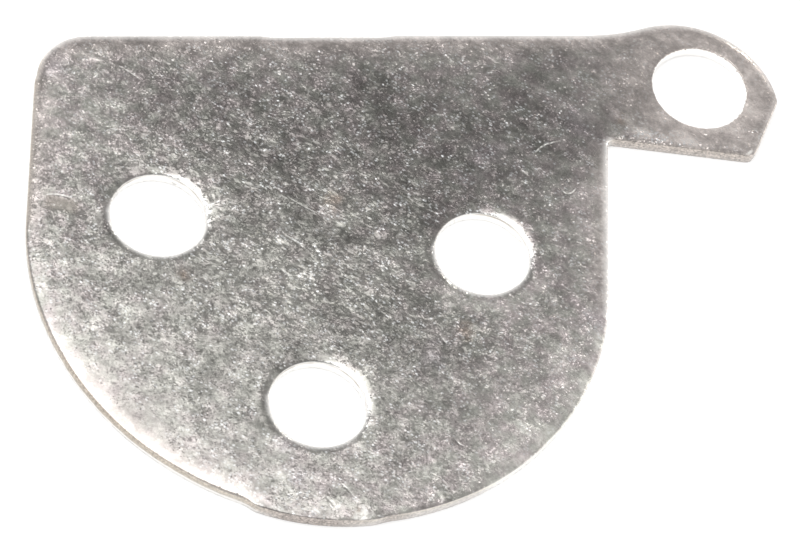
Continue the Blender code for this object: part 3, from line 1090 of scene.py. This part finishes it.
def wall_colour(graph, place, share):
    """The colour of the cut walls: bright, beige on one side, and a dull brown where they are torn."""
    speckle = graph.noise(place, *SPECKLE)
    speckled = graph.math("ADD", graph.times(speckle, TORN_CONTRAST), TORN_SHIFT)
    torn_wall = graph.blend(1.0, TORN_WALL, speckled, "MULTIPLY")
    beige = graph.blend(1.0, BEIGE_WALL, graph.ramp(speckle, *BEIGE_BY_SPECKLE), "MULTIPLY")
    shiny = graph.blend(share["line"], BRIGHT_WALL, WALL_LINE)
    shiny = graph.blend(share["dull"], shiny, beige)
    shiny = graph.blend(share["torn"], shiny, torn_wall)
    broken = graph.blend(share["torn"], BRIGHT_WALL, torn_wall)
    cut = graph.blend(share["break"], shiny, broken)
    lined = graph.times(share["line"], graph.ramp(graph.noise(place, *LINED), *LINE_BY_NOISE))
    return graph.blend(share["bore"], cut, graph.blend(lined, BRIGHT_WALL, BORE_LINE))


def grain_normal(graph, place, turned, grain_place, share, patches):
    """The surface's direction: small leaning facets, with long streaks that cluster in the middle."""
    away = graph.gap(place, STREAK_CENTRE)
    clusters = graph.ramp(graph.noise(grain_place, *CLUSTERS), *STREAKED_BY_NOISE)
    streaked = graph.times(graph.ramp(away, *STREAKED_BY_GAP), clusters)
    strength = graph.times(graph.ramp(patches, *LEAN_BY_PATCH), graph.ramp(away, *LEAN_BY_GAP))
    calm = graph.math("MAXIMUM", graph.times(share["calm"], CALM_SMOOTH),
                      graph.times(share["pressed"], PRESSED_SMOOTH))
    strength = graph.times(strength, graph.math("SUBTRACT", 1.0, calm))
    sparkle = graph.ramp(graph.noise(place, *SPARKLE), *LEAN_BY_SPARKLE)
    lean = graph.stretch(facets(graph, grain_place, *FINE_FACETS), sparkle)
    lean = graph.vector("ADD", lean, facets(graph, grain_place, *MIDDLE_FACETS))
    lean = graph.vector("ADD", lean, facets(graph, grain_place, *BROAD_FACETS))
    streak_place = graph.add("Mapping", {"Vector": turned, "Scale": STREAK_STRETCH})
    lean = graph.vector("ADD", lean, graph.stretch(facets(graph, streak_place, *STREAKS), streaked))
    normal = graph.add("NewGeometry", {}, output="Normal")
    normal = graph.vector("ADD", normal, graph.stretch(lean, strength))
    return graph.vector("NORMALIZE", normal)


def plated_steel():
    """Bright plated steel with a coarse matt grain, and with its cut walls."""
    graph = Graph("plated_steel")
    here = graph.add("TexCoord", {}, output="Object")
    place = graph.add("Mapping", {"Vector": here, "Scale": (1 / MM, 1 / MM, 1 / MM)})
    bend = graph.add("TexNoise", {"Vector": place, "Scale": BEND_SCALE}, output="Color")
    bend = graph.stretch(graph.vector("SUBTRACT", bend, MIDDLE_COLOUR), BEND_BY)
    bent = graph.vector("ADD", place, bend)
    turned = graph.add("Mapping", {"Vector": bent, "Rotation": (0, 0, -GRAIN_ANGLE)})
    grain_place = graph.add("Mapping", {"Vector": turned, "Scale": GRAIN_STRETCH})
    share = {name: graph.add("Attribute", {}, output="Fac", attribute_name=name)
             for name in Skin.SHARES + FACE_SHARES}
    patches = graph.noise(place, *PATCHES)
    colour = graph.blend(graph.ramp(share["wall"], *CUT_BY_WALL),
                         plating_colour(graph, place, grain_place, share, patches),
                         wall_colour(graph, place, share))
    roughness = graph.math("SUBTRACT", graph.ramp(share["scored_and_highlight"], *ROUGH_BY_SCORED_AND_HIGHLIGHT),
                           graph.ramp(share["wall"], *SMOOTH_BY_WALL))
    normal = grain_normal(graph, place, turned, grain_place, share, patches)
    shader = graph.add("BsdfPrincipled", {"Base Color": colour, "Metallic": 1.0, "Roughness": roughness,
                                          "Normal": normal})
    return graph.finish(shader)


def floor_material():
    """A matt white floor. Seen directly or in the metal, it shows a little paler than it is lit.

    It has only an upper side, so that the plate's underside can be looked at through it.
    """
    graph = Graph("floor")
    rays = graph.tree.nodes.new("ShaderNodeLightPath").outputs
    seen = graph.math("MAXIMUM", rays["Is Camera Ray"], rays["Is Glossy Ray"])
    seen = graph.math("MAXIMUM", seen, rays["Is Transmission Ray"])
    matt = graph.add("BsdfDiffuse", {"Color": FLOOR_COLOUR})
    glow = graph.add("Emission", {"Color": (1, 1, 1, 1), "Strength": graph.times(seen, FLOOR_GLOW)})
    upper_side = graph.add("AddShader", {0: matt, 1: glow})
    behind = graph.add("NewGeometry", {}, output="Backfacing")
    clear = graph.add("BsdfTransparent", {})
    return graph.finish(graph.add("MixShader", {0: behind, 1: upper_side, 2: clear}))


def make_floor():
    """The floor that the plate lies on."""
    bpy.ops.mesh.primitive_plane_add(size=FLOOR_SIDE, location=(0.0, 0.0, -FLOOR_GAP))
    floor = bpy.context.object
    floor.name = "floor"
    floor.data.materials.append(floor_material())


def make_light(name, direction, distance, size, turn, radiance, colour):
    """A soft box: its direction from the plate, distance and sides in metres, and its brightness."""
    away = Vector(direction).normalized()
    lamp = bpy.data.lights.new(name, "AREA")
    lamp.shape = "RECTANGLE"
    lamp.size = size[0]
    lamp.size_y = size[1]
    lamp.energy = radiance * math.pi * size[0] * size[1]
    lamp.color = colour
    light = bpy.data.objects.new(name, lamp)
    light.location = away * distance
    light.rotation_euler = (away.to_track_quat("Z", "Y").to_matrix() @ roll_matrix(turn)).to_euler()
    bpy.context.scene.collection.objects.link(light)


def make_world():
    """The studio's light: the sum of the ramps, as the strength of a white background."""
    world = bpy.data.worlds.new("studio")
    world.use_nodes = True
    nodes = world.node_tree.nodes
    links = world.node_tree.links
    background = nodes["Background"]
    background.inputs["Color"].default_value = (1.0, 1.0, 1.0, 1.0)
    way = nodes.new("ShaderNodeTexCoord").outputs["Generated"]
    split = nodes.new("ShaderNodeSeparateXYZ")
    links.new(way, split.inputs[0])
    strength = 0.0
    for axis, low, high, at_low, at_high in WORLD_RAMPS:
        ramp = nodes.new("ShaderNodeMapRange")
        ramp.interpolation_type = "SMOOTHSTEP"
        for name, value in (("From Min", low), ("From Max", high), ("To Min", at_low), ("To Max", at_high)):
            ramp.inputs[name].default_value = value
        links.new(split.outputs[axis], ramp.inputs["Value"])
        total = nodes.new("ShaderNodeMath")
        links.new(ramp.outputs[0], total.inputs[0])
        if isinstance(strength, float):
            total.inputs[1].default_value = strength
        else:
            links.new(strength, total.inputs[1])
        strength = total.outputs[0]
    links.new(strength, background.inputs["Strength"])
    bpy.context.scene.world = world


def make_camera():
    """The camera at the photograph's angle."""
    away = Vector((math.sin(CAMERA_AZIMUTH) * math.cos(CAMERA_ELEVATION),
                   -math.cos(CAMERA_AZIMUTH) * math.cos(CAMERA_ELEVATION),
                   math.sin(CAMERA_ELEVATION)))
    data = bpy.data.cameras.new("camera")
    data.sensor_width = SENSOR
    data.lens = LENS
    data.clip_start = NEAREST_SEEN
    camera = bpy.data.objects.new("camera", data)
    turn = (-away).to_track_quat("-Z", "Y").to_matrix() @ roll_matrix(CAMERA_ROLL)
    camera.rotation_euler = turn.to_euler()
    camera.location = (Vector(TARGET) + away * CAMERA_DISTANCE) * MM
    bpy.context.scene.collection.objects.link(camera)
    bpy.context.scene.camera = camera


def roll_matrix(angle):
    """A turn round the line of sight."""
    return Matrix.Rotation(angle, 3, "Z")


plate = build_plate()
plate.data.materials.append(plated_steel())
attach(plate, "root")
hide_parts(NODE)

make_floor()
make_world()
for lamp in LAMPS:
    make_light(*lamp)
make_camera()
bpy.context.scene.view_settings.view_transform = "Standard"
